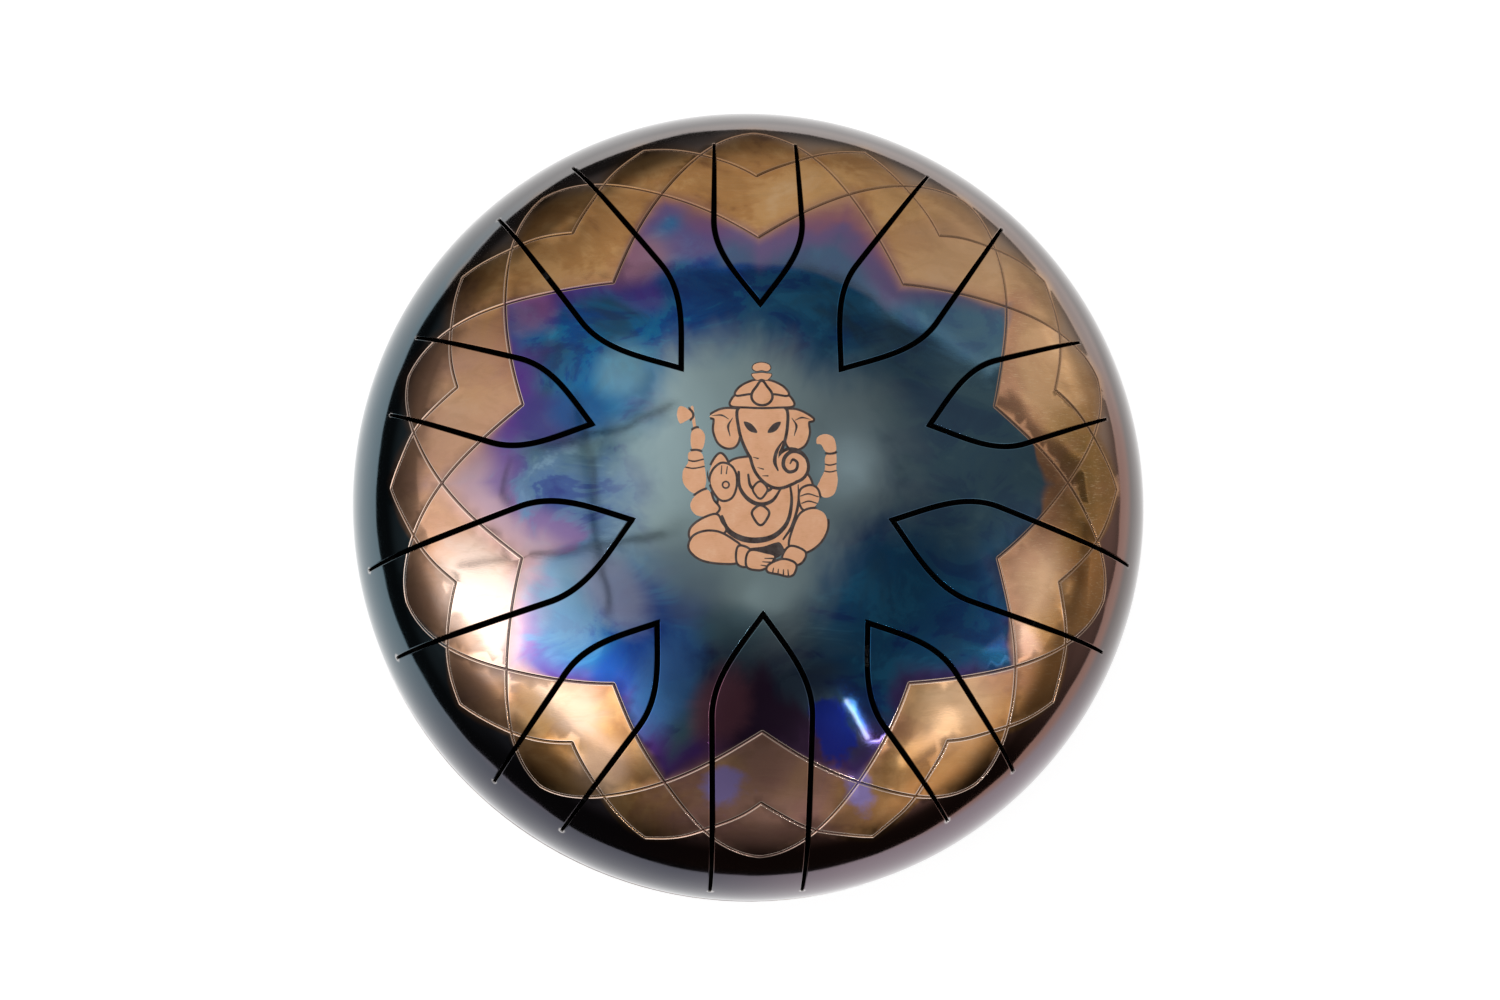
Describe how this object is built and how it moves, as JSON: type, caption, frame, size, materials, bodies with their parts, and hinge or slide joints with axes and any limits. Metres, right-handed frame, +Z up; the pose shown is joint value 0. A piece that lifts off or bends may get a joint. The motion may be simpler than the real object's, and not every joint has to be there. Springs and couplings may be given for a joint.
{
  "type": "steel tongue drum",
  "caption": "Round welded steel tongue drum with tuned tongues slit into a heat-tinted, engraved top shell, a sound port below and rubber feet.",
  "frame": {"origin": "on the floor under the drum's axis, at the level of the feet's soles", "axes": "+Z up along the drum's axis; -Y towards the player, where the longest tongue is; +X to the player's right"},
  "size_m": [0.3007, 0.3006, 0.1632],
  "materials": {
    "tinted_steel": "polished, engraved and heat-tinted from slate blue through violet to gold, clear lacquered",
    "tinted_steel_lower": "polished and heat-tinted brown to dark violet, clear lacquered",
    "ground_weld": "ground flush and heat-tinted with the shells",
    "foot_rubber": "matt moulded",
    "zinc_steel": "zinc plated"
  },
  "bodies": {
    "drum_body": {"top_shell": "tinted_steel", "bottom_shell": "tinted_steel_lower", "seam_weld": "ground_weld", "foot_front_left": "foot_rubber", "foot_front_right": "foot_rubber", "foot_rear_left": "foot_rubber", "foot_rear_right": "foot_rubber", "foot_screws": "zinc_steel", "foot_head_washers": "zinc_steel", "foot_inner_washers": "zinc_steel", "foot_nuts": "zinc_steel"},
    "tongue_front": {"tongue_front": "tinted_steel"},
    "tongue_left_front": {"tongue_left_front": "tinted_steel"},
    "tongue_right_front": {"tongue_right_front": "tinted_steel"},
    "tongue_rear_left": {"tongue_rear_left": "tinted_steel"},
    "tongue_rear_right": {"tongue_rear_right": "tinted_steel"},
    "tongue_front_left": {"tongue_front_left": "tinted_steel"},
    "tongue_front_right": {"tongue_front_right": "tinted_steel"},
    "tongue_left_rear": {"tongue_left_rear": "tinted_steel"},
    "tongue_right_rear": {"tongue_right_rear": "tinted_steel"},
    "tongue_rear": {"tongue_rear": "tinted_steel"}
  },
  "joints": [
    {"name": "tongue_front_flex", "type": "hinge", "parent": "drum_body", "child": "tongue_front", "pos_m": [0, -0.146, 0.11008], "axis": [1, 0, 0], "range_deg": [-0.5, 0.5], "stiffness_Nm_per_rad": 118},
    {"name": "tongue_left_front_flex", "type": "hinge", "parent": "drum_body", "child": "tongue_left_front", "pos_m": [-0.13648, -0.04434, 0.11575], "axis": [0.309, -0.9511, 0], "range_deg": [-0.5, 0.5], "stiffness_Nm_per_rad": 125},
    {"name": "tongue_right_front_flex", "type": "hinge", "parent": "drum_body", "child": "tongue_right_front", "pos_m": [0.13315, -0.04326, 0.1215], "axis": [0.309, 0.9511, 0], "range_deg": [-0.5, 0.5], "stiffness_Nm_per_rad": 134},
    {"name": "tongue_rear_left_flex", "type": "hinge", "parent": "drum_body", "child": "tongue_rear_left", "pos_m": [-0.08082, 0.11124, 0.12474], "axis": [-0.809, -0.5878, 0], "range_deg": [-0.5, 0.5], "stiffness_Nm_per_rad": 139},
    {"name": "tongue_rear_right_flex", "type": "hinge", "parent": "drum_body", "child": "tongue_rear_right", "pos_m": [0.07847, 0.108, 0.12896], "axis": [-0.809, 0.5878, 0], "range_deg": [-0.5, 0.5], "stiffness_Nm_per_rad": 148},
    {"name": "tongue_front_left_flex", "type": "hinge", "parent": "drum_body", "child": "tongue_front_left", "pos_m": [-0.08317, -0.11448, 0.11925], "axis": [0.809, -0.5878, 0], "range_deg": [-0.5, 0.5], "stiffness_Nm_per_rad": 137},
    {"name": "tongue_front_right_flex", "type": "hinge", "parent": "drum_body", "child": "tongue_front_right", "pos_m": [0.08111, -0.11164, 0.12413], "axis": [0.809, 0.5878, 0], "range_deg": [-0.5, 0.5], "stiffness_Nm_per_rad": 147},
    {"name": "tongue_left_rear_flex", "type": "hinge", "parent": "drum_body", "child": "tongue_left_rear", "pos_m": [-0.12887, 0.04187, 0.12698], "axis": [-0.309, -0.9511, 0], "range_deg": [-0.5, 0.5], "stiffness_Nm_per_rad": 154},
    {"name": "tongue_right_rear_flex", "type": "hinge", "parent": "drum_body", "child": "tongue_right_rear", "pos_m": [0.12459, 0.04048, 0.13115], "axis": [-0.309, 0.9511, 0], "range_deg": [-0.5, 0.5], "stiffness_Nm_per_rad": 167},
    {"name": "tongue_rear_flex", "type": "hinge", "parent": "drum_body", "child": "tongue_rear", "pos_m": [0, 0.128, 0.13341], "axis": [-1, 0, 0], "range_deg": [-0.5, 0.5], "stiffness_Nm_per_rad": 177}
  ]
}
